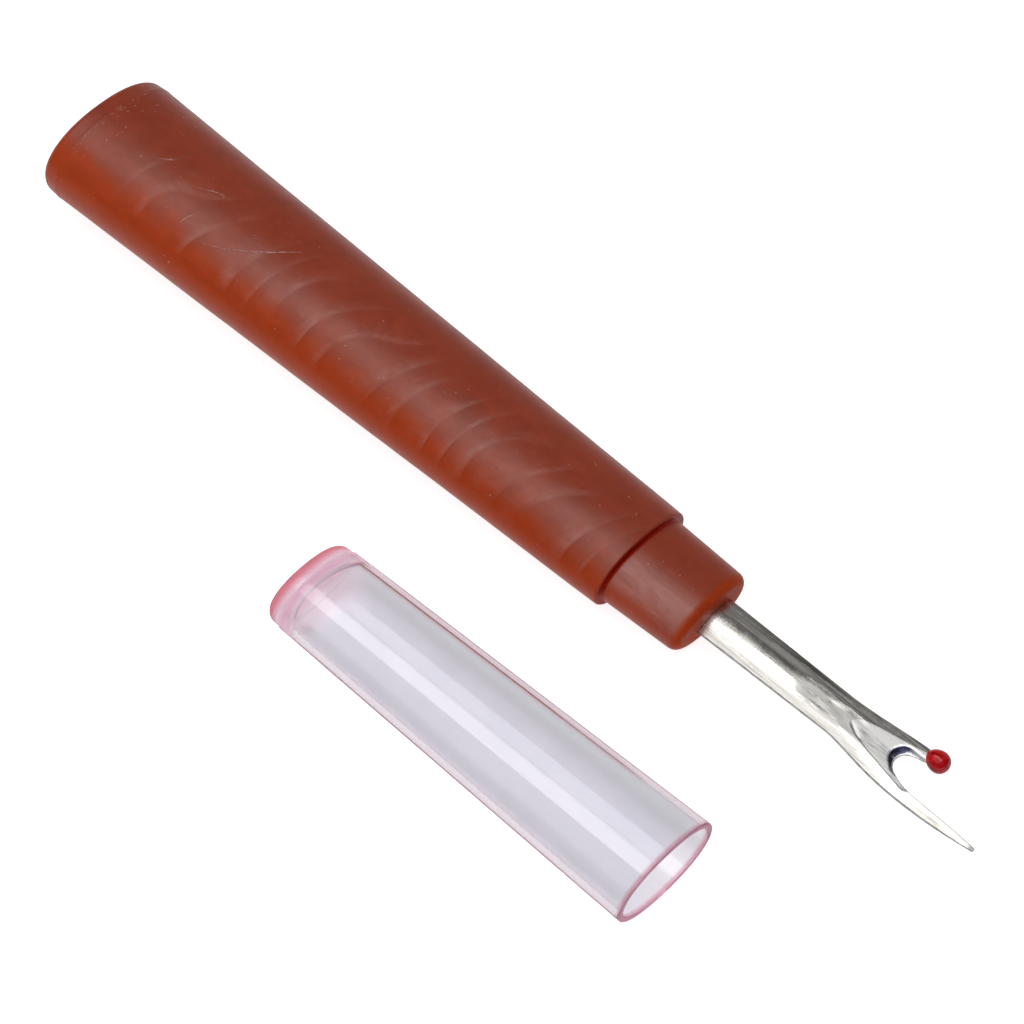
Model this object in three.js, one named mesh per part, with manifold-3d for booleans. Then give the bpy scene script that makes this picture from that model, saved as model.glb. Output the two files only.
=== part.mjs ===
// Seam ripper: a stepped oval handle, a forked steel blade with a bead on its short prong, and a
// clear push-on cap. Millimetres, +Z up. The ripper and its cap lie side by side on the plane z = 0.
//
// The ripper and the cap each have a frame of their own before they are laid down: X along the
// piece, Y across its wide side, Z across its thin side. The ripper's frame has its origin on the
// handle's axis at the shoulder, with +X towards the blade's tip. The cap's frame has its origin at
// the centre of its mouth, with +X out of the mouth.

import * as THREE from 'three';
import { mergeVertices } from 'three/addons/utils/BufferGeometryUtils.js';
import Module from 'manifold-3d';

// ---------------------------------------------------------------- driving dimensions

const GRIP_LENGTH = 86.4; // shoulder to the rim of the butt
const BUTT_WIDTH = 19.0;
const BUTT_HEIGHT = 11.8;
const BUTT_ROUND = 1.0; // radius of the butt's rim
const BUTT_SWEEP = 0.6; // share of a quarter circle that the rim turns before the dome begins
const BUTT_RISE = 1.0; // height of the butt's shallow dome
const NECK_WIDTH = 14.5;
const NECK_HEIGHT = 8.5;
const NECK_ROUND = 0.3;
const SPIGOT_LENGTH = 10.5;
const SPIGOT_ROOT = { width: 12.8, height: 6.85 };
const SPIGOT_END = { width: 12.0, height: 6.55 };
const SPIGOT_ROUND = 1.2;

const SHEET = 0.5; // thickness of the blade's steel
const SHANK_HALF_WIDTH = 2.55;
const WAIST_HALF_WIDTH = 2.37;
const WAIST_X = 28.5;
const SHANK_CROWN = 0.6; // how far the middle of the shank stands above its edges
const PRONG_CROWN = 0.25;
const BLADE_ROLL = 0.08; // slope of the blade across its width, rising towards the bead
const EDGE_LEVEL = -0.2; // height of the shank's upper edges above the handle's axis
const BLADE_OFFSET = 0.38; // the blade sits a little to the bead's side of the handle's axis
const TANG_LENGTH = 16; // how far the blade reaches back behind the spigot's end
const TIP_X = 48.9;
const CROTCH_X = 36.1;
const GRIND_RADIUS = 131; // the wheel that hollows the fork's upper face
const GRIND_X = 43.3;
const GRIND_LEVEL = -0.34; // height of the hollow's lowest line above the handle's axis
const GRIND_ROLL = 0.06;
const FIT_GAP = 0.3; // clearance left round the tang and round the prong inside the bead

const BEAD_X = 39.45;
const BEAD_Y = 2.92;
const BEAD_RADIUS = 1.25;
const BEAD_LENGTH = 2.9;

const CAP_LENGTH = 53.5;
const CAP_WALL = 0.75;
const CAP_MOUTH = { width: 14.4, height: 8.4 };
const CAP_REAR = { width: 12.2, height: 7.1 }; // outside, where the tube meets the domed end
const CAP_DOME = { width: 11.9, height: 6.95 }; // outside of the thick domed end at its rim
const CAP_TUBE = 51.2; // mouth to the groove in front of the domed end
const CAP_CAVITY = 51.6; // mouth to the inside of the end wall
const CAP_DOME_ROUND = 1.4;

const CAP_MOUTH_X = 28.2; // where the cap's mouth lies, from the shoulder along the ripper
const CAP_ASIDE = 26.9; // how far the cap's axis lies to the side of the ripper's

// The oval sections are superellipses, slightly squarer than a true ellipse.
const OVAL_EXPONENT = 2.15;
const OVAL_POINTS = 56;

// ---------------------------------------------------------------- solids and cuts

const wasm = await Module();
wasm.setup();

function toSolid(geometry) {
  const bare = geometry.clone();
  bare.deleteAttribute('normal');
  bare.deleteAttribute('uv');
  const merged = mergeVertices(bare, 1e-5);
  const vertProperties = new Float32Array(merged.attributes.position.array);
  const triVerts = new Uint32Array(merged.index.array);
  return new wasm.Manifold(new wasm.Mesh({ numProp: 3, vertProperties, triVerts }));
}

function toGeometry(solid) {
  const mesh = solid.getMesh();
  const geometry = new THREE.BufferGeometry();
  geometry.setAttribute('position', new THREE.BufferAttribute(mesh.vertProperties, 3));
  geometry.setIndex(new THREE.BufferAttribute(mesh.triVerts, 1));
  return geometry;
}

// One point of an oval section, at an angle measured from +Y.
function ovalPoint(x, section, angle) {
  const cos = Math.cos(angle);
  const sin = Math.sin(angle);
  const power = 2 / OVAL_EXPONENT;
  const y = 0.5 * section.width * Math.sign(cos) * Math.abs(cos) ** power;
  const z = 0.5 * section.height * Math.sign(sin) * Math.abs(sin) ** power;
  return new THREE.Vector3(x, y, z);
}

// The same section with its edge moved in by a constant distance.
function inset(section, distance) {
  return { width: section.width - 2 * distance, height: section.height - 2 * distance };
}

function between(first, last, share) {
  return {
    width: THREE.MathUtils.lerp(first.width, last.width, share),
    height: THREE.MathUtils.lerp(first.height, last.height, share),
  };
}

// A closed skin over oval stations, from a pole on the axis to a second pole. Each station is
// { x, section }. Where x grows from one station to the next, the skin faces away from the axis.
function loftOvals(firstPoleX, stations, lastPoleX) {
  const points = [new THREE.Vector3(firstPoleX, 0, 0)];
  for (const station of stations) {
    for (let i = 0; i < OVAL_POINTS; i++) {
      points.push(ovalPoint(station.x, station.section, (2 * Math.PI * i) / OVAL_POINTS));
    }
  }
  points.push(new THREE.Vector3(lastPoleX, 0, 0));
  const lastPole = points.length - 1;
  const vertex = (ring, i) => 1 + ring * OVAL_POINTS + (i % OVAL_POINTS);
  const triangles = [];
  for (let i = 0; i < OVAL_POINTS; i++) {
    triangles.push(0, vertex(0, i + 1), vertex(0, i));
    for (let ring = 0; ring < stations.length - 1; ring++) {
      triangles.push(vertex(ring, i), vertex(ring, i + 1), vertex(ring + 1, i));
      triangles.push(vertex(ring, i + 1), vertex(ring + 1, i + 1), vertex(ring + 1, i));
    }
    triangles.push(lastPole, vertex(stations.length - 1, i), vertex(stations.length - 1, i + 1));
  }
  const geometry = new THREE.BufferGeometry().setFromPoints(points);
  geometry.setIndex(triangles);
  return geometry;
}

// Stations round an outer edge of the given radius. The section is full at fullX and turns in
// through the given share of a quarter circle.
function roundedEdge(fullX, section, radius, direction, steps, sweep = 1) {
  const stations = [];
  for (let k = 0; k <= steps; k++) {
    const turn = (0.5 * Math.PI * sweep * k) / steps;
    const x = fullX + direction * radius * Math.sin(turn);
    stations.push({ x, section: inset(section, radius * (1 - Math.cos(turn))) });
  }
  return stations;
}

// ---------------------------------------------------------------- handle

function handleBody() {
  const butt = { width: BUTT_WIDTH, height: BUTT_HEIGHT };
  const neck = { width: NECK_WIDTH, height: NECK_HEIGHT };
  const rim = roundedEdge(-GRIP_LENGTH, butt, BUTT_ROUND, -1, 4, BUTT_SWEEP).reverse();
  const face = rim[0];
  const dome = [0.35, 0.7].map((share) => ({
    x: face.x - BUTT_RISE * (1 - share * share),
    section: { width: face.section.width * share, height: face.section.height * share },
  }));
  const stations = [
    ...dome,
    ...rim,
    ...roundedEdge(-NECK_ROUND, neck, NECK_ROUND, 1, 2),
    { x: 0, section: SPIGOT_ROOT },
    ...roundedEdge(SPIGOT_LENGTH - SPIGOT_ROUND, SPIGOT_END, SPIGOT_ROUND, 1, 4),
  ];
  return loftOvals(face.x - BUTT_RISE, stations, SPIGOT_LENGTH);
}

// ---------------------------------------------------------------- blade

// Height of the sheet's upper face above the handle's axis.
function sheetTop(x, y) {
  const fade = THREE.MathUtils.smoothstep(x, WAIST_X, BEAD_X);
  const crown = THREE.MathUtils.lerp(SHANK_CROWN, PRONG_CROWN, fade);
  return EDGE_LEVEL + crown * (1 - (y / SHANK_HALF_WIDTH) ** 2) + BLADE_ROLL * y;
}

// A strip of sheet arched across its width, thickened all round by margin.
function archedStrip(startX, endX, halfWidth, margin, lengthSteps, widthSteps) {
  const length = endX - startX;
  const thickness = SHEET + 2 * margin;
  const strip = new THREE.BoxGeometry(length, 2 * halfWidth, thickness, lengthSteps, widthSteps, 1);
  strip.translate(startX + length / 2, 0, margin - thickness / 2);
  const position = strip.attributes.position;
  for (let i = 0; i < position.count; i++) {
    const rise = sheetTop(position.getX(i), position.getY(i));
    position.setZ(i, position.getZ(i) + rise);
  }
  return strip;
}

// The blade seen from above: a straight shank, a long curved prong that ends in the point, and a
// short prong that carries the bead, with a rounded crotch between them.
function bladeOutline() {
  const tangX = SPIGOT_LENGTH - TANG_LENGTH;
  const outline = new THREE.Shape();
  outline.moveTo(tangX, -SHANK_HALF_WIDTH);
  outline.lineTo(SPIGOT_LENGTH, -SHANK_HALF_WIDTH);
  outline.lineTo(WAIST_X, -WAIST_HALF_WIDTH);
  outline.bezierCurveTo(31, -2.45, 34, -3.2, 38.2, -3.34);
  outline.bezierCurveTo(42, -3.45, 46, -3.1, TIP_X, -2.66);
  outline.lineTo(TIP_X - 0.05, -2.5);
  outline.bezierCurveTo(46.8, -2.28, 43.5, -2.24, 40.5, -2.22);
  outline.bezierCurveTo(38.2, -2.1, CROTCH_X, -1.3, CROTCH_X, 0);
  outline.bezierCurveTo(CROTCH_X, 1.05, 36.9, 1.75, 38.4, 1.9);
  outline.lineTo(BEAD_X + 0.3, BEAD_Y - 0.45);
  outline.lineTo(BEAD_X + 0.3, BEAD_Y + 0.25);
  outline.lineTo(37.9, 3.33);
  outline.bezierCurveTo(35.6, 3.2, 32, 2.5, WAIST_X, WAIST_HALF_WIDTH);
  outline.lineTo(SPIGOT_LENGTH, SHANK_HALF_WIDTH);
  outline.lineTo(tangX, SHANK_HALF_WIDTH);
  outline.closePath();
  return outline;
}

function bladeBody() {
  const cutterDepth = 6;
  const outline = new THREE.ExtrudeGeometry(bladeOutline(), {
    depth: cutterDepth,
    bevelEnabled: false,
    curveSegments: 8,
  });
  outline.translate(0, 0, -cutterDepth / 2);
  const tangX = SPIGOT_LENGTH - TANG_LENGTH;
  const sheet = archedStrip(tangX - 1, TIP_X + 1, 5, 0, 22, 16);
  const wheel = new THREE.CylinderGeometry(GRIND_RADIUS, GRIND_RADIUS, 40, 480);
  wheel.rotateX(Math.atan(GRIND_ROLL));
  wheel.translate(GRIND_X, 0, GRIND_LEVEL + GRIND_RADIUS * Math.hypot(1, GRIND_ROLL));
  return toGeometry(toSolid(sheet).intersect(toSolid(outline)).subtract(toSolid(wheel)));
}

// The pocket that the blade's tang fills in the spigot.
function tangPocket() {
  const floorX = SPIGOT_LENGTH - TANG_LENGTH - FIT_GAP;
  const halfWidth = SHANK_HALF_WIDTH + FIT_GAP;
  const pocket = archedStrip(floorX, SPIGOT_LENGTH + 1, halfWidth, FIT_GAP, 2, 12);
  pocket.translate(0, BLADE_OFFSET, 0);
  return pocket;
}

// ---------------------------------------------------------------- bead

// A drop shape round the prong's tip: round in front, drawn out a little where the prong enters.
function beadBody() {
  const profile = [];
  const steps = 14;
  for (let k = 0; k <= steps; k++) {
    const turn = (Math.PI * k) / steps;
    const along = -0.5 * BEAD_LENGTH * Math.cos(turn);
    const drawnOut = 1 + 0.12 * Math.cos(turn);
    profile.push(new THREE.Vector2(BEAD_RADIUS * Math.sin(turn) * (2 - drawnOut), along));
  }
  const drop = new THREE.LatheGeometry(profile, 28);
  drop.rotateZ(-Math.PI / 2);
  const middle = sheetTop(BEAD_X, BEAD_Y) - SHEET / 2;
  drop.translate(BEAD_X + 0.1, BEAD_Y, middle);
  const pocketReach = 4;
  const pocketEnd = BEAD_X + 0.3 + FIT_GAP;
  const pocket = new THREE.BoxGeometry(pocketReach, 1.5, SHEET + 2 * FIT_GAP);
  pocket.translate(pocketEnd - pocketReach / 2, BEAD_Y - 0.1, middle);
  return toGeometry(toSolid(drop).subtract(toSolid(pocket)));
}

// ---------------------------------------------------------------- cap

function capBody() {
  const mouthInside = inset(CAP_MOUTH, CAP_WALL);
  const rearInside = inset(between(CAP_MOUTH, CAP_REAR, CAP_CAVITY / CAP_TUBE), CAP_WALL);
  const domeRim = -CAP_LENGTH + CAP_DOME_ROUND;
  const groove = inset(CAP_DOME, 0.15);
  const innerRound = 0.8;
  const stations = [
    ...roundedEdge(domeRim, CAP_DOME, CAP_DOME_ROUND, -1, 5).reverse(),
    { x: -CAP_TUBE - 0.5, section: CAP_DOME },
    { x: -CAP_TUBE - 0.2, section: groove },
    { x: -CAP_TUBE, section: CAP_REAR },
    { x: 0, section: CAP_MOUTH },
    { x: 0, section: mouthInside },
    ...roundedEdge(-CAP_CAVITY + innerRound, rearInside, innerRound, -1, 3),
  ];
  const domeRise = 0.4;
  return loftOvals(-CAP_LENGTH - domeRise, stations, -CAP_CAVITY);
}

// ---------------------------------------------------------------- assembly

function part(name, geometry, color, roughness, metalness) {
  const material = new THREE.MeshStandardMaterial({ color, roughness, metalness });
  const mesh = new THREE.Mesh(geometry, material);
  mesh.name = name;
  return mesh;
}

const handleGeometry = toGeometry(toSolid(handleBody()).subtract(toSolid(tangPocket())));
const blade = part('blade', bladeBody(), 0xc9c8c2, 0.25, 1);
const bead = part('bead', beadBody(), 0xa81216, 0.15, 0);
const cap = part('cap', capBody(), 0xe2dbe6, 0.08, 0);
cap.material.transparent = true;
cap.material.opacity = 0.4;

// The steel parts share the offset that the blade has in the spigot.
const steelwork = new THREE.Group();
steelwork.add(blade, bead);
steelwork.position.y = BLADE_OFFSET;

// The ripper rests on the underside of its grip, so its axis dips towards the point.
const ripper = new THREE.Group();
ripper.add(part('handle', handleGeometry, 0x8a3a28, 0.45, 0), steelwork);
const dip = Math.atan2((BUTT_HEIGHT - NECK_HEIGHT) / 2, GRIP_LENGTH - NECK_ROUND);
ripper.rotation.y = dip;
ripper.position.z = (NECK_HEIGHT / 2) * Math.cos(dip);

// The cap rests on its underside too, with its mouth on the blade's side.
const capRest = new THREE.Group();
capRest.add(cap);
const lift = Math.atan2((CAP_MOUTH.height - CAP_REAR.height) / 2, CAP_TUBE);
capRest.rotation.y = -lift;
capRest.position.set(CAP_MOUTH_X, -CAP_ASIDE, (CAP_MOUTH.height / 2) * Math.cos(lift));

// The model's origin is the middle of its footprint.
const seamRipper = new THREE.Group();
seamRipper.add(ripper, capRest);
const footprint = new THREE.Box3().setFromObject(seamRipper, true);
const centre = footprint.getCenter(new THREE.Vector3());
seamRipper.position.set(-centre.x, -centre.y, -footprint.min.z);

export default seamRipper;
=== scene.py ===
import math
import random

import bmesh
import bpy
from mathutils import Matrix, Vector, noise


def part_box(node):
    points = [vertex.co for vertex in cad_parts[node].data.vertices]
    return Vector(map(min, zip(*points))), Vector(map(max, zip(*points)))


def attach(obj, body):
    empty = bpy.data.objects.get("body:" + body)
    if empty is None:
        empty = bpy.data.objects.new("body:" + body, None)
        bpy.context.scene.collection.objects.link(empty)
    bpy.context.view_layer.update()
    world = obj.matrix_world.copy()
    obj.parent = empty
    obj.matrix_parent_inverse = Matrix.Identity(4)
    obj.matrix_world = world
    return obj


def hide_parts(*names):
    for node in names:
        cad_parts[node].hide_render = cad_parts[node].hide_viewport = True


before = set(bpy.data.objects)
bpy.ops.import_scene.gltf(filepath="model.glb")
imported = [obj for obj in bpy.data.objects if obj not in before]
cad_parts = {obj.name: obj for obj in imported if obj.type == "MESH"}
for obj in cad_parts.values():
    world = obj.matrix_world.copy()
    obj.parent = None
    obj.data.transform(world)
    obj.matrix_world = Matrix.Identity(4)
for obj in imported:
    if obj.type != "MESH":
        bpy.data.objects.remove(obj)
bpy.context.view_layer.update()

# Seam ripper: a satin red-brown handle, a forked steel blade with a red bead, and a clear cap that
# lies beside it. Shapes are worked out in millimetres in each piece's own frame, X along the piece,
# and then laid in the row frame by one matrix per piece.

MM = 0.001

# ------------------------------------------------------------------ driving dimensions, in mm
#
# The handle and the blade share one frame, with X = 0 at the shoulder and +X towards the blade's
# point. The cap's frame has X = 0 at the mouth. A pair is the (width, height) of an oval section.

GRIP_LENGTH = 86.4       # from the butt's rim to the shoulder
BUTT_HEIGHT = 11.8
BUTT_ROUND = 1.0
BUTT_SWEEP = 0.6         # how much of the quarter round the rim keeps
BUTT_RISE = 1.0          # of the butt's shallow dome
BUTT_INSET = 0.09        # of the rim, inside the grip past the crease
BUTT_CREASE_X = -85.0
NECK = (14.5, 8.5)
NECK_ROUND = 0.3
SPIGOT_LENGTH = 10.5
SPIGOT_ROOT = (12.8, 6.85)
SPIGOT_END = (12.0, 6.55)
SPIGOT_ROUND = 1.2
OVAL_EXPONENT = 2.15     # 2 would be an ellipse

# The flow fronts that cross the grip's upper side.
FRONT_HEIGHT = 0.07
FRONT_ORIGIN_Y = -6.0    # where a front stands square to the grip
FRONT_SLANT = 0.1
FRONT_CURL = 0.05
FRONT_RATE = 0.175       # fronts per millimetre at the butt
FRONT_CLOSING = 0.0005   # how much more there are for each millimetre towards the neck
FRONT_WAVES = ((0.3, 0.23, 0.1, 0.0), (0.16, 0.61, -0.15, 1.3))  # (size, along X, along Y, start)

SHEET = 0.5              # thickness of the blade's steel
SHANK_HALF_WIDTH = 2.55
WAIST_HALF_WIDTH = 2.37
WAIST_X = 28.5
SHANK_CROWN = 0.6        # rise of the arch over the shank's width
PRONG_CROWN = 0.25
BLADE_ROLL = 0.08        # how much higher the bead's side stands, for each millimetre across
EDGE_LEVEL = -0.2
BLADE_OFFSET = 0.38      # of the blade from the handle's axis, towards the bead's side
TIP_X = 48.9
CROTCH_X = 36.1
RIM_WIDTH = 0.8          # the flatter rim along the bead's side of the shank
LAND_SIDES = (-1.2, 1.05)
HOLLOW_RADIUS = 131.0    # the wheel that hollows the fork's upper face
HOLLOW_X = 43.3
HOLLOW_LEVEL = -0.29
HOLLOW_ROLL = 0.06
BEVEL_WIDTH = (0.42, 0.92)  # of the cutting bevel, on the long prong and on the bead's side
BEVEL_DROP = 0.34
EDGE_ROUND = 0.06
POINT_THINNING = 0.14    # on each face at the point

BEAD_X = 39.45
BEAD_Y = 2.92
BEAD_RADIUS = 1.25
BEAD_LENGTH = 2.9
BEAD_NARROWING = 0.12    # towards the shank, as a share of the radius

CAP_LENGTH = 53.5
CAP_WALL = 0.75
CAP_MOUTH = (14.4, 8.4)
CAP_REAR = (12.2, 7.1)
CAP_DOME = (11.9, 6.95)
CAP_TUBE = 51.2
CAP_CAVITY = 51.6
CAP_DOME_ROUND = 1.4
CAP_DOME_RISE = 0.4
CAP_LIP = 0.18           # rounding of the mouth's rim
CAP_END_DEPTH = 2.6      # of the cavity's rounded end

# ------------------------------------------------------------------ light and camera

FLOOR_GLOW = 0.42        # that lights the pieces
FLOOR_SHINE = 0.40       # more, that only the camera sees, to keep the shadows faint
BOX_ANGLE = 90.0         # of the soft box, in degrees round the X axis from +Y upwards
BOX_HALF_WIDTH = 9.5     # in degrees too
BOX_REACH = (-1.1, 0.5)  # of its two ends along X, as shares of its distance
BOX_DISTANCE = 0.75      # in metres
BOX_RADIANCE = 2.8

# The room's glow by the angle round the X axis from +Y upwards, as (degrees, glow).
ROOM_GLOW = (
    (0, 0.36), (34, 0.32), (56, 0.12), (68, 0.08), (75, 0.16),
    (83, 0.8), (104, 1.2), (129, 1.2), (144, 0.25), (180, 0.12),
)

# How the room darkens towards both ends of the ripper, as (place along X, tint).
SIDE_FADE = [(0.1, (0.35,) * 3), (0.22, (1.0,) * 3), (0.66, (1.0,) * 3), (0.76, (0.1, 0.1, 0.17))]

CAMERA_AZIMUTH = 43.7    # degrees from -Y towards +X
CAMERA_ELEVATION = 55.0
CAMERA_DISTANCE = 375.8
CAMERA_LENS = 117.8      # on a sensor 36 wide
CAMERA_AIM = (-16.65, -2.94)  # from the shoulder, on the table


# ------------------------------------------------------------------ where the pieces lie


def box_mm(node):
    low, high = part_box(node)
    return low / MM, high / MM


def laid_down(origin_mm, pitch):
    """The matrix from a piece's own millimetres to the row frame, pitched about Y."""
    place = Matrix.Translation(Vector(origin_mm) * MM) @ Matrix.Rotation(pitch, 4, "Y")
    return place @ Matrix.Scale(MM, 4)


HANDLE_LOW, HANDLE_HIGH = box_mm("handle")
CAP_LOW, CAP_HIGH = box_mm("cap")
BUTT = (HANDLE_HIGH.y - HANDLE_LOW.y, BUTT_HEIGHT)

DIP = math.atan2((BUTT[1] - NECK[1]) / 2, GRIP_LENGTH - NECK_ROUND)
SPIGOT_TOP = SPIGOT_END[1] / 2 - SPIGOT_ROUND
SHOULDER = Vector((
    HANDLE_HIGH.x - SPIGOT_LENGTH * math.cos(DIP) - SPIGOT_TOP * math.sin(DIP),
    (HANDLE_LOW.y + HANDLE_HIGH.y) / 2,
    NECK[1] / 2 * math.cos(DIP),
))
RIPPER = laid_down(SHOULDER, DIP)

LIFT = math.atan2((CAP_MOUTH[1] - CAP_REAR[1]) / 2, CAP_TUBE)
MOUTH = Vector((
    CAP_HIGH.x - CAP_MOUTH[1] / 2 * math.sin(LIFT),
    (CAP_LOW.y + CAP_HIGH.y) / 2,
    CAP_MOUTH[1] / 2 * math.cos(LIFT),
))
CAP = laid_down(MOUTH, -LIFT)


# ------------------------------------------------------------------ shape helpers


def lerp(a, b, share):
    return a + (b - a) * share


def smoothstep(value, low, high):
    share = min(1.0, max(0.0, (value - low) / (high - low)))
    return share * share * (3 - 2 * share)


def window(value, low, low_end, high_end, high):
    """Rises smoothly from 0 to 1, stays there, and falls again."""
    return smoothstep(value, low, low_end) * (1 - smoothstep(value, high_end, high))


def oval_point(x, section, angle):
    """A point of an oval section, at an angle from +Y towards +Z."""
    power = 2 / OVAL_EXPONENT
    y = section[0] / 2 * math.copysign(abs(math.cos(angle)) ** power, math.cos(angle))
    z = section[1] / 2 * math.copysign(abs(math.sin(angle)) ** power, math.sin(angle))
    return Vector((x, y, z))


def oval_ring(x, section, count):
    return [oval_point(x, section, 2 * math.pi * i / count) for i in range(count)]


def inset(section, distance):
    return (section[0] - 2 * distance, section[1] - 2 * distance)


def blend_section(first, last, share):
    return (lerp(first[0], last[0], share), lerp(first[1], last[1], share))


def rounded_edge(full_x, section, radius, direction, steps, sweep=1.0):
    """Stations round an outer edge, from the full section through a share of a quarter circle."""
    stations = []
    for k in range(steps + 1):
        turn = math.pi / 2 * sweep * k / steps
        x = full_x + direction * radius * math.sin(turn)
        stations.append((x, inset(section, radius * (1 - math.cos(turn)))))
    return stations


def evenly(first_x, first, last_x, last, step):
    """Stations strictly between two sections, about one step apart."""
    count = max(1, round(abs(last_x - first_x) / step))
    shares = [k / count for k in range(1, count)]
    return [(lerp(first_x, last_x, s), blend_section(first, last, s)) for s in shares]


def skin_rings(bm, rings):
    """Joins rings of equally many points with quads and returns the rows of vertices."""
    rows = [[bm.verts.new(p) for p in ring] for ring in rings]
    for row, following in zip(rows, rows[1:]):
        for i in range(len(row)):
            j = (i + 1) % len(row)
            bm.faces.new((row[i], row[j], following[j], following[i]))
    return rows


def close_with_pole(bm, row, point):
    pole = bm.verts.new(point)
    for i in range(len(row)):
        bm.faces.new((pole, row[i], row[(i + 1) % len(row)]))


def finish_piece(name, bm, place, body, node, material):
    """Turns the mesh work into a piece that rides on its body and stands for its CAD node."""
    bmesh.ops.recalc_face_normals(bm, faces=bm.faces)
    mesh = bpy.data.meshes.new(name)
    bm.to_mesh(mesh)
    bm.free()
    mesh.transform(place)
    mesh.shade_smooth()
    piece = bpy.data.objects.new(name, mesh)
    bpy.context.scene.collection.objects.link(piece)
    piece.data.materials.append(material)
    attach(piece, body)
    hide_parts(node)
    return piece


# ------------------------------------------------------------------ material helpers


def new_material(name):
    material = bpy.data.materials.new(name)
    material.use_nodes = True
    tree = material.node_tree
    return material, tree, tree.nodes["Principled BSDF"]


def add_node(tree, kind, **settings):
    node = tree.nodes.new(kind)
    for key, value in settings.items():
        setattr(node, key, value)
    return node


def ramp(tree, source, stops):
    """A colour ramp fed by source. Each stop is (position, colour)."""
    node = tree.nodes.new("ShaderNodeValToRGB")
    elements = node.color_ramp.elements
    while len(elements) < len(stops):
        elements.new(0.5)
    for element, (position, colour) in zip(elements, stops):
        element.position = position
        element.color = (*colour, 1)
    tree.links.new(source, node.inputs["Fac"])
    return node.outputs["Color"]


def grey(value):
    return (value, value, value)


def mask_ramp(tree, source, *stops):
    """A ramp of greys fed by source. Each stop is (position, grey value)."""
    return ramp(tree, source, [(position, grey(value)) for position, value in stops])


def linear(tree, value, factor, offset=None):
    """The value times a factor, plus an offset."""
    scaled = math_node(tree, "MULTIPLY", value, factor)
    return scaled if offset is None else math_node(tree, "ADD", scaled, offset)


def times(tree, first, second):
    """The product of two colours or masks."""
    return mix_colour(tree, 1.0, first, second, "MULTIPLY")


def math_node(tree, operation, first, second=0.0):
    node = add_node(tree, "ShaderNodeMath", operation=operation)
    for socket, value in zip(node.inputs, (first, second)):
        if isinstance(value, (int, float)):
            socket.default_value = value
        else:
            tree.links.new(value, socket)
    return node.outputs["Value"]


def mix_colour(tree, share, first, second, blend="MIX"):
    node = add_node(tree, "ShaderNodeMix", data_type="RGBA", blend_type=blend)
    colour_inputs = [s for s in node.inputs if s.type == "RGBA"]
    for socket, value in ((node.inputs[0], share), (colour_inputs[0], first), (colour_inputs[1], second)):
        if isinstance(value, (int, float)):
            socket.default_value = value
        elif isinstance(value, tuple):
            socket.default_value = (*value, 1)
        else:
            tree.links.new(value, socket)
    return [s for s in node.outputs if s.type == "RGBA"][0]


def piece_coordinates(tree, place):
    """Texture coordinates in the piece's own millimetres."""
    geometry = add_node(tree, "ShaderNodeTexCoord")
    mapping = add_node(tree, "ShaderNodeMapping", vector_type="TEXTURE")
    mapping.inputs["Location"].default_value = place.to_translation()
    mapping.inputs["Rotation"].default_value = place.to_euler()
    mapping.inputs["Scale"].default_value = place.to_scale()
    tree.links.new(geometry.outputs["Object"], mapping.inputs["Vector"])
    return mapping.outputs["Vector"]


def separate(tree, vector):
    """The X, Y and Z of a vector."""
    split = tree.nodes.new("ShaderNodeSeparateXYZ")
    tree.links.new(vector, split.inputs["Vector"])
    return split.outputs["X"], split.outputs["Y"], split.outputs["Z"]


def noise_texture(tree, vector, scale, detail=2.0, roughness=0.5, distortion=0.0, stretch=None):
    if stretch is not None:
        mapping = add_node(tree, "ShaderNodeMapping")
        mapping.inputs["Scale"].default_value = stretch
        tree.links.new(vector, mapping.inputs["Vector"])
        vector = mapping.outputs["Vector"]
    node = tree.nodes.new("ShaderNodeTexNoise")
    node.inputs["Scale"].default_value = scale
    node.inputs["Detail"].default_value = detail
    node.inputs["Roughness"].default_value = roughness
    node.inputs["Distortion"].default_value = distortion
    tree.links.new(vector, node.inputs["Vector"])
    return node.outputs["Fac"]


def vertex_layer(tree, name):
    """The value that the mesh carries at its vertices under this name."""
    node = add_node(tree, "ShaderNodeAttribute", attribute_name=name)
    return node.outputs["Fac"]


def bump(tree, height, strength, distance_mm, normal=None):
    node = tree.nodes.new("ShaderNodeBump")
    node.inputs["Strength"].default_value = strength
    node.inputs["Distance"].default_value = distance_mm * MM
    tree.links.new(height, node.inputs["Height"])
    if normal is not None:
        tree.links.new(normal, node.inputs["Normal"])
    return node.outputs["Normal"]


# ------------------------------------------------------------------ materials


def front_share(tree, x, y):
    """Node form of the flow fronts' place: 0 just past one front, 1 at the next."""
    across = math_node(tree, "SUBTRACT", y, FRONT_ORIGIN_Y)
    slant = linear(tree, across, FRONT_CURL, FRONT_SLANT)
    sweep = math_node(tree, "MULTIPLY", across, slant)
    place = math_node(tree, "ADD", math_node(tree, "SUBTRACT", x, sweep), GRIP_LENGTH)
    rate = linear(tree, place, FRONT_CLOSING, FRONT_RATE)
    phase = math_node(tree, "MULTIPLY", place, rate)
    for size, along, sideways, start in FRONT_WAVES:
        turn = linear(tree, x, along, linear(tree, y, sideways))
        wave = math_node(tree, "SINE", math_node(tree, "ADD", turn, start))
        phase = math_node(tree, "ADD", phase, math_node(tree, "MULTIPLY", wave, size))
    return math_node(tree, "FRACT", phase), phase


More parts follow.
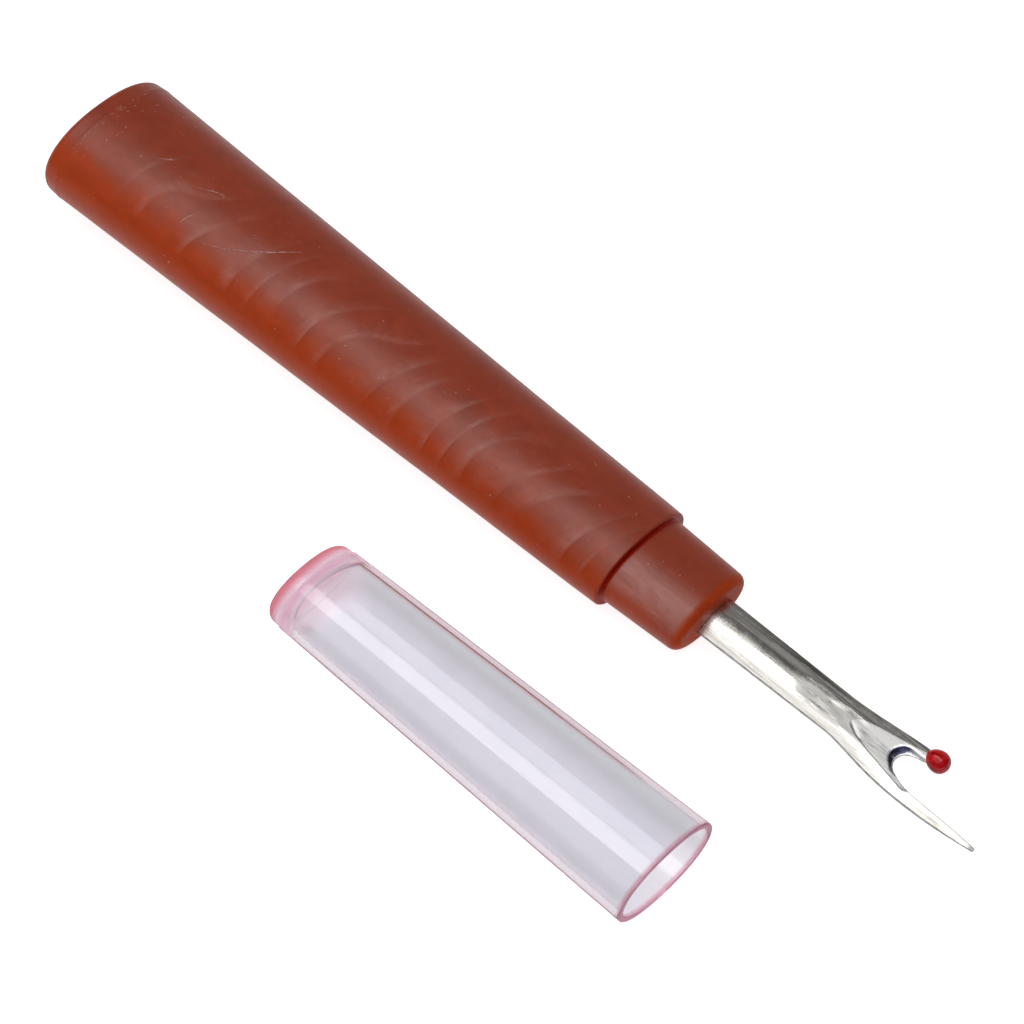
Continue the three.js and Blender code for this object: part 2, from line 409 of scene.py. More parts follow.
def handle_material():
    material, tree, shader = new_material("handle_satin_plastic")
    where = piece_coordinates(tree, RIPPER)
    x, y, z = separate(tree, where)
    cloud = noise_texture(tree, where, 0.16, 3.0, 0.55, 1.2)
    streak = noise_texture(tree, where, 0.5, 3.0, 0.6, 2.0, (0.35, 1.0, 1.0))
    base = ramp(tree, cloud, [(0.3, (0.262, 0.032, 0.0086)), (0.7, (0.308, 0.040, 0.0108))])

    # Along one side the colour is painted brighter and more orange, a painted light for the flank that is
    # lit more strongly.
    side = linear(tree, cloud, 0.16, 0.42)
    side = linear(tree, y, -0.05, side)
    side = mask_ramp(tree, side, (0.6, 0.0), (0.74, 0.3), (0.84, 1.0))
    base = mix_colour(tree, side, base, (0.40, 0.045, 0.0080))

    # The spigot's end face is painted orange, a painted glow for the light that comes through its plastic
    # there. Ramps run from
    # 0 to 1, so X is told here as 0.2 plus units of 25 mm.
    along = linear(tree, x, 0.04, 0.2)
    nose_start = 0.04 * (SPIGOT_LENGTH - 1.1) + 0.2
    nose = mask_ramp(tree, along, (nose_start, 0.0), (nose_start + 0.03, 1.0))
    shine = mask_ramp(tree, nose, (0.0, 0.5), (1.0, 0.1))
    tree.links.new(shine, shader.inputs["Specular IOR Level"])
    gloss = mix_colour(tree, side, grey(1.0), (1.0, 0.42, 0.3))
    gloss = mix_colour(tree, nose, gloss, (1.0, 0.36, 0.2))

    # The corner at the shoulder is painted deep red, a painted shade for the groove together with a
    # painted glow for the light that goes through its rim.
    corner = mask_ramp(tree, along, (0.196, 0.0), (0.199, 1.0), (0.210, 1.0), (0.216, 0.0))
    gloss = mix_colour(tree, corner, gloss, (1.0, 0.15, 0.08))
    tree.links.new(gloss, shader.inputs["Specular Tint"])

    # Behind each flow front a pale bloom is painted, partly the plastic's own bloom and partly a painted
    # sheen from the overhead light; past the front the colour is darker, a painted shade.
    front, phase = front_share(tree, x, y)
    combed = tree.nodes.new("ShaderNodeCombineXYZ")
    tree.links.new(phase, combed.inputs["X"])
    tree.links.new(linear(tree, y, 0.07), combed.inputs["Y"])
    feathers = noise_texture(tree, combed.outputs["Vector"], 4.5, 3.0, 0.6, 0.0)
    feathers = mask_ramp(tree, feathers, (0.34, 0.25), (0.66, 1.0))
    bloom_and_sheen = mask_ramp(
        tree, front,
        (0.0, 0.0), (0.3, 0.1), (0.7, 0.4), (0.9, 1.0), (0.96, 0.7), (1.0, 0.0),
    )
    shadow = mask_ramp(tree, front, (0.0, 0.86), (0.3, 0.95), (0.6, 1.0), (0.97, 1.0), (1.0, 0.86))
    sheen_band = linear(tree, y, 0.05, 0.5)
    sheen_band = mask_ramp(tree, sheen_band, (0.11, 0.0), (0.19, 1.0), (0.38, 0.8), (0.66, 0.0))
    top = mask_ramp(tree, linear(tree, z, 0.1), (0.05, 0.0), (0.2, 1.0))
    ends = mask_ramp(
        tree, linear(tree, x, -0.01),
        (0.0, 0.0), (0.004, 0.6), (0.06, 1.0), (0.7, 1.0), (0.82, 0.0),
    )
    patches = noise_texture(tree, where, 0.22, 3.0, 0.6, 0.5)
    patches = mask_ramp(tree, patches, (0.36, 0.1), (0.62, 1.0))
    # The painted sheen and shade lie in a band on the grip's upper side, away from its ends.
    mask = times(tree, sheen_band, top)
    mask = times(tree, mask, ends)
    mask = times(tree, mask, patches)
    shadow = mix_colour(tree, mask, grey(1.0), shadow)
    base = times(tree, base, shadow)
    bloom_and_sheen = times(tree, bloom_and_sheen, mask)
    bloom_and_sheen = times(tree, bloom_and_sheen, feathers)
    bloom_and_sheen = times(tree, bloom_and_sheen, grey(0.5))
    base = mix_colour(tree, bloom_and_sheen, base, (0.46, 0.25, 0.21))

    # A pale, streaked patch is painted on one side of the spigot, a painted highlight for its stronger
    # sheen there.
    rubbing_and_sheen = mask_ramp(tree, linear(tree, x, 0.1), (0.0, 0.0), (0.03, 1.0))
    lean = linear(tree, y, -0.1, 0.3)
    lean = mask_ramp(tree, lean, (0.32, 0.0), (0.62, 0.22), (0.8, 0.22), (0.88, 0.05))
    rubbing_and_sheen = times(tree, rubbing_and_sheen, lean)
    rubbing_and_sheen = times(tree, rubbing_and_sheen, mask_ramp(tree, streak, (0.3, 0.6), (0.7, 1.0)))
    base = mix_colour(tree, rubbing_and_sheen, base, (0.60, 0.45, 0.42))

    base = mix_colour(tree, nose, base, (0.46, 0.052, 0.0085))
    base = mix_colour(tree, corner, base, (0.31, 0.009, 0.001))

    worn = mask_ramp(tree, streak, (0.35, 0.93), (0.65, 1.04))
    base = times(tree, base, worn)
    speck = noise_texture(tree, where, 1.7, 1.0, 0.4)
    speck_mask = mask_ramp(tree, speck, (0.77, 0.0), (0.82, 0.6))
    base = mix_colour(tree, speck_mask, base, (0.5, 0.24, 0.17))
    tree.links.new(base, shader.inputs["Base Color"])
    rough = noise_texture(tree, where, 0.9, 4.0, 0.6, 0.8)
    rough = mask_ramp(tree, rough, (0.3, 0.33), (0.7, 0.42))
    tree.links.new(rough, shader.inputs["Roughness"])
    shader.inputs["IOR"].default_value = 1.46
    shader.inputs["Subsurface Weight"].default_value = 0.15
    shader.inputs["Subsurface Radius"].default_value = (1.0, 0.25, 0.12)
    shader.inputs["Subsurface Scale"].default_value = 0.6 * MM
    grain = noise_texture(tree, where, 7.0, 3.0, 0.6)
    scratch = noise_texture(tree, where, 1.6, 2.0, 0.5, 0.6, (0.12, 3.5, 3.5))
    normal = bump(tree, grain, 0.45, 0.04)
    normal = bump(tree, scratch, 0.15, 0.03, normal)
    tree.links.new(normal, shader.inputs["Normal"])
    return material


def burr_material():
    """The paler, stress-whitened plastic of scratches and burrs."""
    material, tree, shader = new_material("handle_pale_burrs")
    shader.inputs["IOR"].default_value = 1.3
    where = piece_coordinates(tree, RIPPER)
    patch = noise_texture(tree, where, 2.5, 2.0, 0.5)
    tone = ramp(tree, patch, [(0.35, (0.32, 0.095, 0.066)), (0.65, (0.50, 0.26, 0.215))])
    tree.links.new(tone, shader.inputs["Base Color"])
    shader.inputs["Roughness"].default_value = 0.6
    return material


def steel_material():
    material, tree, shader = new_material("blade_drawn_steel")
    where = piece_coordinates(tree, RIPPER)
    x, y, _ = separate(tree, where)
    shader.inputs["Metallic"].default_value = 1.0

    # Ramps run from 0 to 1, so X is told here in units of 50 mm, and Y as 0.5 plus units of 10 mm.
    station = linear(tree, x, 0.02)
    lane = linear(tree, y, 0.1, 0.5)

    # The drawn skin has fine streaks, and broader ones along the bead's side of the arch.
    draw = noise_texture(tree, where, 3.0, 4.0, 0.65, 0.0, (0.07, 2.2, 2.2))
    tone = ramp(tree, draw, [(0.36, (0.44, 0.425, 0.402)), (0.54, (0.69, 0.662, 0.622))])
    bands = noise_texture(tree, where, 3.0, 3.0, 0.6, 0.0, (0.025, 0.75, 0.75))
    bands = mask_ramp(tree, bands, (0.36, 0.5), (0.48, 1.0), (0.6, 1.5))
    beyond = linear(tree, y, 0.1)
    beyond = mask_ramp(tree, beyond, (0.06, 0.0), (0.11, 1.0))
    tone = times(tree, tone, mix_colour(tree, beyond, grey(1.0), bands))
    mottle = noise_texture(tree, where, 1.4, 4.0, 0.6)
    rough = mask_ramp(tree, mottle, (0.3, 0.2), (0.7, 0.3))

    # Past the middle of the shank the drawn skin is rubbed to a paler satin land.
    rubbing_and_sheen = noise_texture(tree, where, 1.3, 4.0, 0.7, 0.4, (0.22, 1.6, 1.6))
    along = mask_ramp(tree, station, (0.41, 0.0), (0.49, 1.0), (0.66, 1.0), (0.7, 0.0))
    across = mask_ramp(tree, lane, (0.33, 0.0), (0.40, 1.0), (0.56, 1.0), (0.6, 0.0))
    land = times(tree, along, across)
    land = times(tree, land, mask_ramp(tree, rubbing_and_sheen, (0.4, 0.0), (0.52, 1.0)))
    tone = mix_colour(tree, land, tone, (0.54, 0.53, 0.505))
    rough = mix_colour(tree, land, rough, grey(0.55))

    # The web ground into the fork is greyer, with grinding streaks. Along its bead's side a paler band is
    # painted, a painted highlight where its slope faces the light, and it ends in a fine dark line
    # painted at the step, a painted shade.
    depth = math_node(tree, "ADD", vertex_layer(tree, "ground"), 0.5)
    web = mask_ramp(tree, depth, (0.496, 0.0), (0.502, 1.0))
    step = mask_ramp(tree, depth, (0.472, 0.0), (0.486, 0.9), (0.508, 0.9), (0.528, 0.0))
    near = mask_ramp(tree, station, (0.78, 1.0), (0.83, 0.0))
    web = times(tree, web, near)
    step = times(tree, step, near)
    step = times(tree, step, mask_ramp(tree, lane, (0.5, 1.0), (0.54, 0.0)))
    streaks = noise_texture(tree, where, 2.4, 4.0, 0.7, 0.3, (0.14, 1.9, 1.9))
    web_tone = ramp(tree, streaks, [
        (0.34, (0.30, 0.29, 0.285)), (0.47, (0.74, 0.73, 0.71)), (0.7, (0.95, 0.94, 0.92)),
    ])
    lit_web_side = mask_ramp(tree, lane, (0.53, 0.0), (0.6, 0.8))
    web_tone = mix_colour(tree, lit_web_side, web_tone, (0.97, 0.96, 0.94))
    tone = mix_colour(tree, web, tone, web_tone)
    rough = mix_colour(tree, web, rough, grey(0.36))
    tone = mix_colour(tree, step, tone, (0.10, 0.10, 0.105))

    # The bevel round the crotch is painted dark blue with pale glints, a painted reflection of the dim
    # room, and the plain steel left along its sharp rim shows as a bright line.
    bevel = vertex_layer(tree, "bevel")
    bevel_reflection = mask_ramp(tree, bevel, (0.03, 0.0), (0.12, 1.0), (0.8, 1.0), (0.9, 0.0))
    bevel_reflection = times(tree, bevel_reflection, mask_ramp(tree, station, (0.732, 1.0), (0.752, 0.12)))
    patch = noise_texture(tree, where, 1.6, 2.0, 0.6)
    blue = ramp(tree, patch, [
        (0.36, (0.035, 0.038, 0.075)), (0.6, (0.10, 0.10, 0.17)), (0.68, (0.6, 0.6, 0.68)),
    ])
    tone = mix_colour(tree, bevel_reflection, tone, blue)

    # The long prong is a little duller, and a fine grey line is painted along its inner rim, a painted
    # shade where the edge rolls away.
    prong = mask_ramp(tree, station, (0.76, 0.0), (0.84, 1.0))
    worn = ramp(tree, rubbing_and_sheen, [(0.36, (0.60, 0.585, 0.56)), (0.6, (0.86, 0.85, 0.83))])
    tone = times(tree, tone, mix_colour(tree, prong, grey(1.0), worn))
    line = mask_ramp(tree, vertex_layer(tree, "rim"), (0.8, 0.0), (0.9, 0.7))
    line = times(tree, line, prong)
    tone = mix_colour(tree, line, tone, grey(0.22))
    # The blunt point is painted dark, a painted shade for its end facet.
    tip = mask_ramp(tree, station, (0.962, 0.0), (0.97, 1.0))
    tone = mix_colour(tree, tip, tone, grey(0.16))

    tree.links.new(tone, shader.inputs["Base Color"])
    tree.links.new(rough, shader.inputs["Roughness"])
    normal = bump(tree, draw, 0.5, 0.02)
    normal = bump(tree, streaks, 0.25, 0.012, normal)
    tree.links.new(normal, shader.inputs["Normal"])
    return material


def cut_edge_material():
    """The darker steel of the punched side walls."""
    material, tree, shader = new_material("blade_cut_edge")
    where = piece_coordinates(tree, RIPPER)
    shader.inputs["Metallic"].default_value = 1.0
    tear = noise_texture(tree, where, 2.0, 3.0, 0.6, 0.0, (0.5, 1.0, 2.5))
    tree.links.new(mask_ramp(tree, tear, (0.35, 0.2), (0.65, 0.5)), shader.inputs["Base Color"])
    shader.inputs["Roughness"].default_value = 0.4
    tree.links.new(bump(tree, tear, 0.4, 0.02), shader.inputs["Normal"])
    return material


def bead_material():
    material, tree, shader = new_material("bead_red_enamel")
    where = piece_coordinates(tree, RIPPER)
    cloud = noise_texture(tree, where, 1.1, 3.0, 0.6, 0.8)
    tone = ramp(tree, cloud, [
        (0.36, (0.20, 0.001, 0.003)), (0.46, (0.48, 0.005, 0.008)), (0.7, (0.62, 0.008, 0.010)),
    ])
    tree.links.new(tone, shader.inputs["Base Color"])
    shader.inputs["Roughness"].default_value = 0.12
    shader.inputs["IOR"].default_value = 1.38
    dimple = noise_texture(tree, where, 2.5, 2.0, 0.5)
    tree.links.new(bump(tree, dimple, 0.25, 0.05), shader.inputs["Normal"])
    return material


def cap_material():
    material, tree, shader = new_material("cap_clear_pink_plastic")
    output = tree.nodes["Material Output"]
    where = piece_coordinates(tree, CAP)

    # Masks for the thick domed end and for the mouth's rim, by the share of the cap's length.
    x, _, _ = separate(tree, where)
    place = math_node(tree, "DIVIDE", x, -CAP_LENGTH)
    dome = mask_ramp(tree, place, (0.960, 0.0), (0.980, 1.0))
    path = tree.nodes.new("ShaderNodeLightPath")
    first = linear(tree, path.outputs["Is Camera Ray"], 0.8, 0.2)
    dome = times(tree, dome, first)
    rim = mask_ramp(tree, place, (0.0, 1.0), (0.012, 0.0))
    cloud = noise_texture(tree, where, 0.2, 2.0, 0.5)
    tint = ramp(tree, cloud, [(0.3, (0.848, 0.892, 0.905)), (0.7, (0.868, 0.908, 0.92))])
    facing = tree.nodes.new("ShaderNodeLayerWeight")
    facing.inputs["Blend"].default_value = 0.5
    edge = mask_ramp(tree, facing.outputs["Facing"], (0.45, 0.0), (0.9, 0.9))
    tint = mix_colour(tree, edge, tint, (0.92, 0.60, 0.70))
    tint = mix_colour(tree, dome, tint, (0.95, 0.50, 0.55))
    tint = mix_colour(tree, rim, tint, (0.75, 0.38, 0.46))

    # Pink and grey arcs stand for the bends of light inside the closed end.
    arcs = ramp(tree, place, [
        (0.908, (1.0, 1.0, 1.0)),
        (0.916, (0.86, 0.90, 0.93)),
        (0.923, (0.98, 0.70, 0.80)),
        (0.930, (0.88, 0.93, 0.96)),
        (0.940, (0.84, 0.88, 0.92)),
        (0.946, (0.98, 0.66, 0.76)),
        (0.953, (0.88, 0.93, 0.96)),
        (0.962, (1.0, 1.0, 1.0)),
    ])
    tint = mix_colour(tree, path.outputs["Is Camera Ray"], tint, times(tree, tint, arcs))
    tree.links.new(tint, shader.inputs["Base Color"])
    haze = noise_texture(tree, where, 0.7, 3.0, 0.6)
    tree.links.new(mask_ramp(tree, haze, (0.3, 0.03), (0.7, 0.08)), shader.inputs["Roughness"])
    shader.inputs["Transmission Weight"].default_value = 1.0
    shader.inputs["IOR"].default_value = 1.49
    ripple = noise_texture(tree, where, 0.35, 2.0, 0.5, 0.0, (0.3, 1.0, 1.0))
    normal = bump(tree, ripple, 0.03, 0.1)
    tree.links.new(normal, shader.inputs["Normal"])

    # The thick end scatters a little light, so it glows pink rather than showing the dark room.
    milky = tree.nodes.new("ShaderNodeBsdfTranslucent")
    tree.links.new(mix_colour(tree, dome, (1.0, 0.64, 0.75), (0.98, 0.34, 0.38)), milky.inputs["Color"])
    grazing = mask_ramp(tree, facing.outputs["Facing"], (0.64, 0.0), (0.9, 0.9))
    grazing = times(tree, grazing, first)
    milk = mix_colour(tree, dome, grazing, grey(1.0))
    milk = mix_colour(tree, rim, milk, grey(0.7))
    share = linear(tree, milk, 0.8)
    body = tree.nodes.new("ShaderNodeMixShader")
    tree.links.new(share, body.inputs["Fac"])
    tree.links.new(shader.outputs["BSDF"], body.inputs[1])
    tree.links.new(milky.outputs["BSDF"], body.inputs[2])

    # Lamps shine through the wall with a faint tint, in place of caustics. What is seen through
    # the wall of the closed end does not bend there either, so its far side stays quiet.
    closed = mask_ramp(tree, place, (0.905, 0.0), (0.945, 0.9))
    unseen = math_node(tree, "SUBTRACT", 1.0, path.outputs["Is Camera Ray"])
    quiet = times(tree, closed, unseen)
    quiet = mix_colour(tree, path.outputs["Is Shadow Ray"], quiet, grey(1.0))
    clear = tree.nodes.new("ShaderNodeBsdfTransparent")
    faint = mix_colour(tree, path.outputs["Is Shadow Ray"], (0.98, 0.96, 0.97), (0.93, 0.92, 0.95))
    tree.links.new(faint, clear.inputs["Color"])
    mix = tree.nodes.new("ShaderNodeMixShader")
    tree.links.new(quiet, mix.inputs["Fac"])
    tree.links.new(body.outputs["Shader"], mix.inputs[1])
    tree.links.new(clear.outputs["BSDF"], mix.inputs[2])
    tree.links.new(mix.outputs["Shader"], output.inputs["Surface"])

    absorb = tree.nodes.new("ShaderNodeVolumeAbsorption")
    absorb.inputs["Color"].default_value = (0.88, 0.45, 0.62, 1)
    absorb.inputs["Density"].default_value = 110.0
    tree.links.new(absorb.outputs["Volume"], output.inputs["Volume"])
    return material


# ------------------------------------------------------------------ handle

RING = 192


def slot_ring(x, gap, count):
    """The arched slot that the tang fills, seen from the spigot's end."""
    points = []
    for i in range(count):
        angle = 2 * math.pi * i / count
        y = (SHANK_HALF_WIDTH + gap) * math.cos(angle)
        side = math.copysign(abs(math.sin(angle)) ** 0.25, math.sin(angle))
        middle = arch_level(SPIGOT_LENGTH, y) - SHEET / 2
        points.append(Vector((x, y + BLADE_OFFSET, middle + side * (SHEET / 2 + gap))))
    return points


def handle_stations():
    """Oval stations from the butt's pole to the spigot's rim, with the finer creases between."""
    rim = rounded_edge(-GRIP_LENGTH, inset(BUTT, BUTT_INSET), BUTT_ROUND, -1, 8, BUTT_SWEEP)[::-1]
    face_x, face = rim[0]
    stations = []
    for k in range(1, 14):
        share = k / 14
        stations.append((face_x - BUTT_RISE * (1 - share * share), (face[0] * share, face[1] * share)))
    stations += rim
    stations += evenly(-GRIP_LENGTH, inset(BUTT, BUTT_INSET), BUTT_CREASE_X - 0.1, BUTT, 0.2)
    stations += [(BUTT_CREASE_X - 0.1, BUTT), (BUTT_CREASE_X, inset(BUTT, -0.03))]
    stations += evenly(BUTT_CREASE_X, BUTT, -NECK_ROUND, NECK, 0.3)
    stations += rounded_edge(-NECK_ROUND, NECK, NECK_ROUND, 1, 4)
    neck_face = inset(NECK, NECK_ROUND)
    stations += [(0.0, blend_section(neck_face, SPIGOT_ROOT, s)) for s in (0.35, 0.7)]
    stations += [(0.02, SPIGOT_ROOT)]
    round_x = SPIGOT_LENGTH - SPIGOT_ROUND
    stations += evenly(0.02, SPIGOT_ROOT, round_x, SPIGOT_END, 0.3)
    stations += rounded_edge(round_x, SPIGOT_END, SPIGOT_ROUND, 1, 10)
    return stations


def flow_fronts(x, y):
    """Overlapping fronts of the moulded plastic: 0 to 1, slow to rise and quick to fall."""
    across = y - FRONT_ORIGIN_Y
    place = x - across * (FRONT_SLANT + FRONT_CURL * across) + GRIP_LENGTH
    phase = place * (FRONT_RATE + FRONT_CLOSING * place)
    for size, along, sideways, start in FRONT_WAVES:
        phase += size * math.sin(along * x + sideways * y + start)
    share = phase - math.floor(phase)
    front = share / 0.9 if share < 0.9 else (1 - share) / 0.1
    return front * front * (3 - 2 * front)


def relief(point):
    """Height of the flow marks and of the slow unevenness at a point of the grip, in mm."""
    x, y, z = point
    along = window(x, -80, -70, -7, -2)
    across = window(y, -8.0, -6.0, 0.5, 4.0) * smoothstep(z, 0.0, 2.0)
    patchy = 0.6 + 0.8 * noise.noise(Vector((x * 0.17, y * 0.2, 6.2)))
    fronts = FRONT_HEIGHT * flow_fronts(x, y) * along * across * min(1.0, max(0.15, patchy))
    slow = 0.05 * noise.noise(Vector((x * 0.09, y * 0.22, z * 0.22)))
    fine = 0.012 * noise.noise(Vector((x * 0.45, y * 0.6, z * 0.6)))
    return (fronts + slow + fine) * window(x, BUTT_CREASE_X, -82, -3, -0.5)


def relieved_ring(x, section, count):
    """An oval ring whose points are moved out along the section's own normals by the relief."""
    ring = []
    for point in oval_ring(x, section, count):
        out = Vector((
            0.0,
            math.copysign(abs(2 * point.y / section[0]) ** (OVAL_EXPONENT - 1), point.y) / section[0],
            math.copysign(abs(2 * point.z / section[1]) ** (OVAL_EXPONENT - 1), point.z) / section[1],
        ))
        height = relief(point) if BUTT_CREASE_X < x < 0 else 0.0
        ring.append(point + out.normalized() * height)
    return ring


def grip_top(x, y):
    """Height of the grip's upper surface over a point of its axis plane."""
    share = (x + GRIP_LENGTH) / GRIP_LENGTH
    section = blend_section(BUTT, NECK, share)
    reach = min(1.0, abs(2 * y / section[0]))
    return section[1] / 2 * (1 - reach ** OVAL_EXPONENT) ** (1 / OVAL_EXPONENT)


def raised_mark(bm, path, width, height):
    """A fine burr along a path of (x, y) points on the grip's upper side, thinner at its ends."""
    steps = 8 * (len(path) - 1)
    ridge = []
    for k in range(steps + 1):
        place = k / 8
        i = min(int(place), len(path) - 2)
        before, after = path[max(i - 1, 0)], path[min(i + 2, len(path) - 1)]
        a, b = path[i], path[i + 1]
        t = place - i
        spot = []
        for axis in (0, 1):
            lead_a = (b[axis] - before[axis]) / 2
            lead_b = (after[axis] - a[axis]) / 2
            p0, p1 = a[axis], b[axis]
            cubic = (2 * p0 - 2 * p1 + lead_a + lead_b) * t ** 3
            square = (3 * p1 - 3 * p0 - 2 * lead_a - lead_b) * t ** 2
            spot.append(cubic + square + lead_a * t + p0)
        ridge.append(Vector((spot[0], spot[1])))
    floor_lift = -0.06
    rows = []
    for k, spot in enumerate(ridge):
        ahead = ridge[min(k + 1, steps)] - ridge[max(k - 1, 0)]
        side = Vector((-ahead.y, ahead.x)).normalized()
        taper = math.sin(math.pi * (k + 0.3) / (steps + 0.6))
        row = []
        for offset, lift in ((-0.5, floor_lift), (0.0, height * taper), (0.5, floor_lift)):
            x, y = spot + side * offset * width * (0.3 + 0.7 * taper)
            z = grip_top(x, y)
            row.append(bm.verts.new((x, y, z + relief(Vector((x, y, z))) + lift)))
        rows.append(row)
    faces = [bm.faces.new(rows[0]), bm.faces.new(reversed(rows[-1]))]
    for row, following in zip(rows, rows[1:]):
        for i in (0, 1, 2):
            j = (i + 1) % 3
            faces.append(bm.faces.new((row[i], following[i], following[j], row[j])))
    for face in faces:
        face.material_index = 1


def surface_marks(bm):
    """The long curved scratches, and the small burrs that lie along the butt's crease."""
    raised_mark(bm, [(-66.5, -6.2), (-61.6, -4.5), (-57.6, -2.0), (-55.1, 0.4), (-53.5, 2.0)], 0.6, 0.055)
    raised_mark(bm, [(-76.7, -1.3), (-75.4, -0.5), (-74.3, 0.4), (-73.0, 1.95)], 0.48, 0.05)
    raised_mark(bm, [(-71.9, -2.0), (-68.6, -0.2), (-67.2, 0.5), (-66.2, 0.6), (-66.4, -0.4)], 0.42, 0.05)
    raised_mark(bm, [(-67.6, -5.9), (-67.5, -4.4), (-66.5, -2.2)], 0.6, 0.05)
    raised_mark(bm, [(-60.2, -2.4), (-59.5, -1.2), (-58.2, -0.2)], 0.24, 0.03)
    dice = random.Random(4)
    for k in range(64):
        x = BUTT_CREASE_X + dice.uniform(0.1, 0.6 if k % 3 else 3.5)
        y = dice.uniform(-7.6, 6.0)
        turn = dice.uniform(-0.6, 0.6)
        length = dice.uniform(0.2, 0.8)
        step = (length * math.sin(turn), length * math.cos(turn))
        raised_mark(bm, [(x, y), (x + step[0], y + step[1])], dice.uniform(0.22, 0.42), 0.05)
    for k in range(22):
        x, y = dice.uniform(-82, -4), dice.uniform(-7.5, 4)
        raised_mark(bm, [(x, y), (x + 0.2, y + 0.1)], 0.36, 0.05)
    raised_mark(bm, [(-18.1, -4.3), (-17.8, -4.1)], 0.6, 0.09)


def handle_piece():
    bm = bmesh.new()
    rings = [relieved_ring(x, section, RING) for x, section in handle_stations()]
    rim = rings[-1]
    mouth = slot_ring(SPIGOT_LENGTH, 0.1, RING)
    for share in (0.3, 0.6, 0.85):
        rings.append([a.lerp(b, share) for a, b in zip(rim, mouth)])
    rings.append(mouth)
    rings.append(slot_ring(SPIGOT_LENGTH - 0.25, 0.03, RING))
    rings.append(slot_ring(SPIGOT_LENGTH - 1.5, 0.03, RING))
    rows = skin_rings(bm, rings)
    close_with_pole(bm, rows[0], (rings[0][0].x - BUTT_RISE * 0.01, 0, 0))
    floor_row = rows[-1]
    for i in range(RING // 2):
        corners = [floor_row[i], floor_row[i + 1], floor_row[RING - i - 1], floor_row[-i]]
        corners = list(dict.fromkeys(corners))
        if len(corners) > 2:
            bm.faces.new(corners)
    surface_marks(bm)
    piece = finish_piece("handle_grip", bm, RIPPER, "ripper", "handle", handle_material())
    piece.data.materials.append(burr_material())
    return piece


# ------------------------------------------------------------------ blade

LANE_COLUMNS = 40


def arch_level(x, y):
    """Height of the arched sheet's upper face above the handle's axis."""
    crown = lerp(SHANK_CROWN, PRONG_CROWN, smoothstep(x, WAIST_X, BEAD_X))
    return EDGE_LEVEL + crown * (1 - (y / SHANK_HALF_WIDTH) ** 2) + BLADE_ROLL * y


def hollow_level(x, y):
    """Height of the hollow that the grinding wheel leaves in the fork."""
    sag = HOLLOW_RADIUS - math.sqrt(HOLLOW_RADIUS ** 2 - (x - HOLLOW_X) ** 2)
    run_out = 0.3 * smoothstep(x, 38.8, 41.5)
    return HOLLOW_LEVEL + sag + HOLLOW_ROLL * y + run_out


def land_level(x, y):
    """Height of the flat land rubbed along the arch's ridge in front of the middle of the shank."""
    crown = lerp(SHANK_CROWN, PRONG_CROWN, smoothstep(x, WAIST_X, BEAD_X))
    low, high = LAND_SIDES
    chord = ((low + high) * y - low * high) / SHANK_HALF_WIDTH ** 2
    outside = 1 - smoothstep(x, 21.0, 23.5) + smoothstep(x, 33.0, 36.0)
    ragged = 0.035 * noise.noise(Vector((x * 0.6, y * 1.1, 5.3)))
    return EDGE_LEVEL + crown * (1 - chord) + BLADE_ROLL * y + 0.3 * outside + ragged


def soft_lower(a, b, blur):
    """The lower of two heights, with the crease between them rounded off."""
    share = min(1.0, max(0.0, 0.5 + 0.5 * (b - a) / blur))
    return lerp(b, a, share) - blur * share * (1 - share)


def waviness(x, y):
    """Small rolling waves that the drawn strip keeps, longer than they are wide."""
    rolling = 0.010 * noise.noise(Vector((x * 0.16, y * 0.75, 3.1)))
    fine = 0.004 * noise.noise(Vector((x * 0.5, y * 1.9, 8.0)))
    return rolling + fine


def bevel_share(y, notch_gap):
    """How far down the cutting bevel a point lies: 0 off the bevel, 1 on the notch's rim."""
    width = lerp(BEVEL_WIDTH[0], BEVEL_WIDTH[1], smoothstep(y, -1.3, 0.6))
    fade = 1 - smoothstep(abs(y - 0.3), 1.2, 2.0)
    return fade * max(0.0, 1 - notch_gap / width)


def steel_top(x, y, notch_gap, far_edge):
    """Upper face. notch_gap is the distance to the notch, far_edge that to the bead's side edge."""
    level = arch_level(x, y) + waviness(x, y)
    rim = 1 - smoothstep(far_edge, RIM_WIDTH * 0.75, RIM_WIDTH)
    level += rim * 0.22 * (RIM_WIDTH - far_edge) * (1 - smoothstep(x, 33, 38))
    level += 0.014 * math.exp(-((far_edge - RIM_WIDTH) / 0.06) ** 2) * (1 - smoothstep(x, 34, 38))
    level = soft_lower(level, land_level(x, y), 0.01)
    level = soft_lower(level, hollow_level(x, y), 0.02)
    level -= BEVEL_DROP * math.sin(math.pi / 2 * bevel_share(y, notch_gap))
    return level - POINT_THINNING * smoothstep(x, 42.0, TIP_X)


def steel_bottom(x, y):
    """Under face. The web behind the crotch is left thicker, and the point is thinner."""
    thicker = 0.2 * (1 - (y / 3.6) ** 2) * window(x, 30, 35, 37.5, 41)
    return arch_level(x, y) - SHEET - thicker + POINT_THINNING * smoothstep(x, 42.0, TIP_X)


def bezier(points, count):
    """Points along a cubic curve, both ends included."""
    a, b, c, d = [Vector((*p, 0.0)) for p in points]
    curve = []
    for k in range(count + 1):
        t = k / count
        s = 1 - t
        curve.append(a * s ** 3 + b * (3 * s * s * t) + c * (3 * s * t * t) + d * t ** 3)
    return curve


def straight(first, last, count):
    first, last = Vector((*first, 0.0)), Vector((*last, 0.0))
    return [first.lerp(last, k / count) for k in range(count + 1)]


def joined(*paths):
    """One path from several that follow on from each other."""
    whole = list(paths[0])
    for path in paths[1:]:
        whole += path[1:]
    return whole


